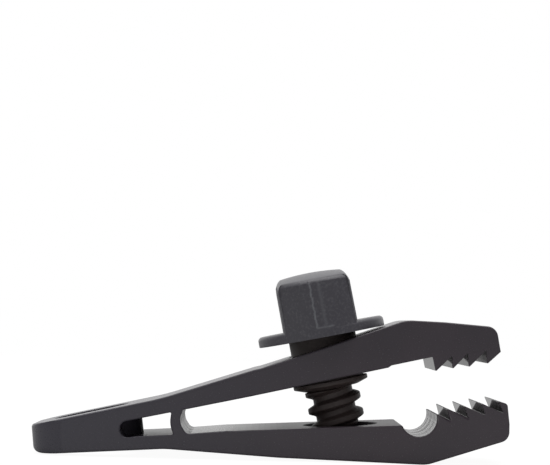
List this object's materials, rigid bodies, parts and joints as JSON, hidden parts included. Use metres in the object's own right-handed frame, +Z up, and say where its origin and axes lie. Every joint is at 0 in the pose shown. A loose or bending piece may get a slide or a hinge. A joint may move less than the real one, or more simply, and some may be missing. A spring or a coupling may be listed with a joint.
{
  "type": "tarp clip",
  "caption": "One-piece sprung plastic clip with toothed jaws, a rope eyelet in its tail and a captive thumb screw that draws the jaws together.",
  "frame": {"origin": "middle of the bounding box, on the surface that the clip lies on", "axes": "+X from the rope eyelet towards the jaws, +Y across the clip, +Z up towards the knob"},
  "size_m": [0.1144, 0.031, 0.0466],
  "materials": {
    "clip_nylon": "fine moulded texture",
    "screw_nylon": "fine moulded texture"
  },
  "bodies": {
    "base": {"clip_base": "clip_nylon", "thread_seat": "clip_nylon"},
    "arm": {"upper_arm": "clip_nylon"},
    "sleeve": {"neck_sleeve": "screw_nylon"},
    "knob": {"thumb_knob": "screw_nylon", "thread_core": "screw_nylon"}
  },
  "joints": [
    {"name": "arm_flex", "type": "hinge", "parent": "base", "child": "arm", "pos_m": [-0.0193, 0, 0.01331], "axis": [0, 1, 0], "range_deg": [0, 8.2], "stiffness_Nm_per_rad": 1.5},
    {"name": "screw_travel", "type": "slide", "parent": "base", "child": "sleeve", "axis": [0.2079, 0, -0.9781], "range_m": [0, 0.00718]},
    {"name": "knob_turn", "type": "hinge", "parent": "sleeve", "child": "knob", "pos_m": [0.0128, 0, 0.02935], "axis": [0.2079, 0, -0.9781], "range_deg": [0, 630]}
  ],
  "couplings": [
    {"joint": "screw_travel", "follows": "knob_turn", "m_per_rad": 0.00065253},
    {"joint": "arm_flex", "follows": "knob_turn", "ratio": 0.013016}
  ]
}
